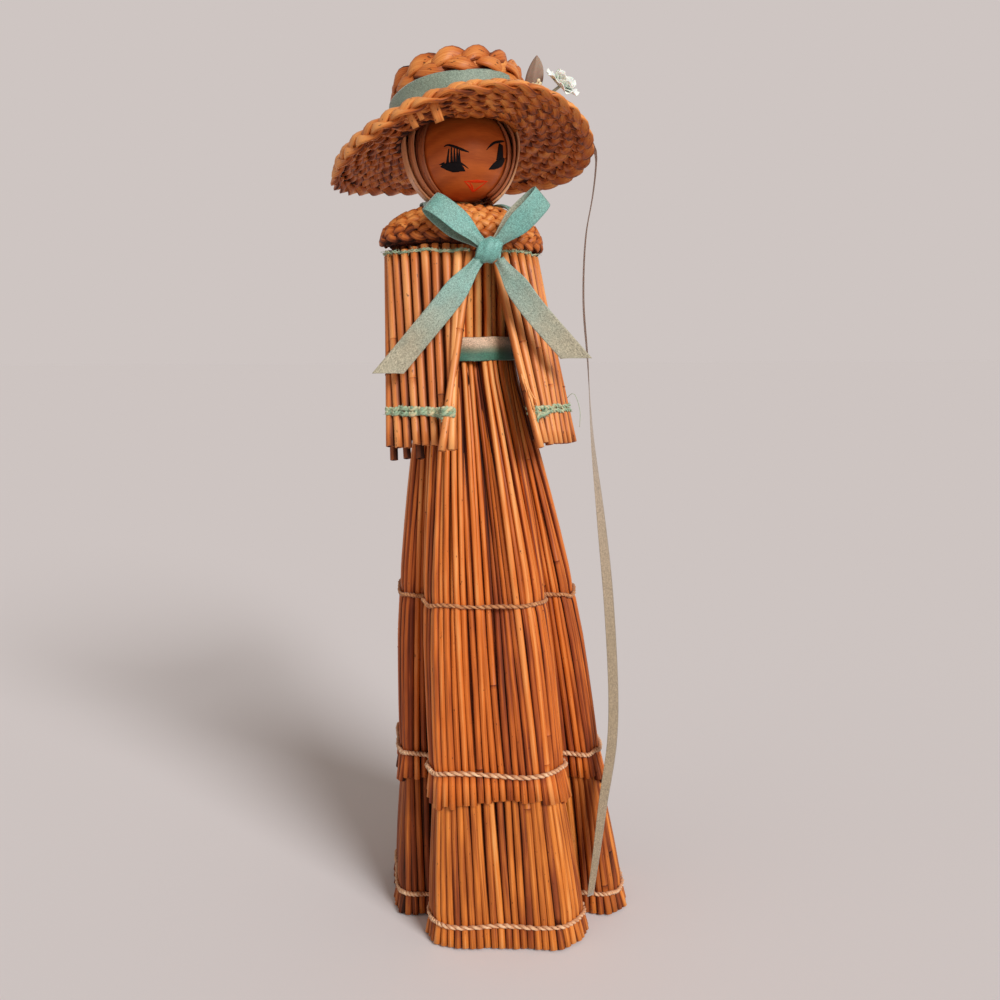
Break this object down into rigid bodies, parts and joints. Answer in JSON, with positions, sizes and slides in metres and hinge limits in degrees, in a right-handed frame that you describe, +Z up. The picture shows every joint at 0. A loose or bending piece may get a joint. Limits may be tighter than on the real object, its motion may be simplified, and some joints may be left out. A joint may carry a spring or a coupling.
{
  "type": "straw doll",
  "caption": "Standing straw doll with pleated straw skirts, bound straw sleeves that swing, a ribbon bow, and a bead head that turns under a plaited straw hat.",
  "frame": {"origin": "on the floor, under the middle of the doll's box without her long ribbon", "axes": "+Z up, she faces -Y and her left is +X"},
  "size_m": [0.0836, 0.0714, 0.2465],
  "materials": {
    "skirt_straw": "satin, split dry stalks",
    "underskirt_straw": "satin, split dry stalks",
    "sleeve_straw": "satin, pale and pinkish stalks",
    "plaited_straw": "satin, three-strand plait",
    "twine": "matt twisted thread",
    "ribbon": "fine plain weave, faded",
    "pale_ribbon": "fine plain weave",
    "yarn": "fuzzy",
    "bead_wood": "varnished",
    "hair_straw": "satin, dyed flat strands",
    "stick_wood": "bare",
    "petal_cloth": "stiffened cloth",
    "leaf_cloth": "stiffened cloth"
  },
  "bodies": {
    "torso": {"overskirt_front_pleat": "skirt_straw", "overskirt_left_pleat": "skirt_straw", "overskirt_back_pleat": "skirt_straw", "overskirt_right_pleat": "skirt_straw", "underskirt_front_pleat": "underskirt_straw", "underskirt_left_pleat": "underskirt_straw", "underskirt_back_pleat": "underskirt_straw", "underskirt_right_pleat": "underskirt_straw", "overskirt_upper_cord": "twine", "overskirt_lower_cord": "twine", "underskirt_cord": "twine", "waist_ribbon": "ribbon", "bodice_straws": "skirt_straw", "shoulder_yoke": "plaited_straw", "core_stick": "stick_wood", "neck_ribbon": "ribbon", "bow_knot": "ribbon", "bow_loop_right": "ribbon", "bow_loop_left": "ribbon", "bow_tail_right": "ribbon", "bow_tail_left": "ribbon"},
    "head": {"head_bead": "bead_wood", "hair_right": "hair_straw", "hair_left": "hair_straw", "hat_brim": "plaited_straw", "hat_crown": "plaited_straw", "hat_band": "ribbon", "flower": "petal_cloth", "flower_leaf": "leaf_cloth", "hat_streamer": "pale_ribbon"},
    "right_sleeve": {"right_sleeve_straw_01": "sleeve_straw", "right_sleeve_straw_02": "sleeve_straw", "right_sleeve_straw_03": "sleeve_straw", "right_sleeve_straw_04": "sleeve_straw", "right_sleeve_straw_05": "sleeve_straw", "right_sleeve_straw_06": "sleeve_straw", "right_sleeve_straw_07": "sleeve_straw", "right_sleeve_straw_08": "sleeve_straw", "right_sleeve_straw_09": "sleeve_straw", "right_sleeve_straw_10": "sleeve_straw", "right_sleeve_straw_11": "sleeve_straw", "right_cuff_yarn": "yarn", "right_shoulder_yarn": "yarn"},
    "left_sleeve": {"left_sleeve_straw_01": "sleeve_straw", "left_sleeve_straw_02": "sleeve_straw", "left_sleeve_straw_03": "sleeve_straw", "left_sleeve_straw_04": "sleeve_straw", "left_sleeve_straw_05": "sleeve_straw", "left_sleeve_straw_06": "sleeve_straw", "left_sleeve_straw_07": "sleeve_straw", "left_sleeve_straw_08": "sleeve_straw", "left_sleeve_straw_09": "sleeve_straw", "left_sleeve_straw_10": "sleeve_straw", "left_sleeve_straw_11": "sleeve_straw", "left_cuff_yarn": "yarn", "left_shoulder_yarn": "yarn"}
  },
  "joints": [
    {"name": "head_turn", "type": "hinge", "parent": "torso", "child": "head", "pos_m": [-0.00623, -0.00049, 0.218], "axis": [0, 0, 1], "range_deg": [-30, 30], "deforming": ["hat_streamer"]},
    {"name": "right_sleeve_swing", "type": "hinge", "parent": "torso", "child": "right_sleeve", "pos_m": [-0.01623, -0.00049, 0.1935], "axis": [0, 1, 0], "range_deg": [0, 12]},
    {"name": "left_sleeve_swing", "type": "hinge", "parent": "torso", "child": "left_sleeve", "pos_m": [0.00377, -0.00049, 0.1935], "axis": [0, -1, 0], "range_deg": [0, 12]}
  ]
}
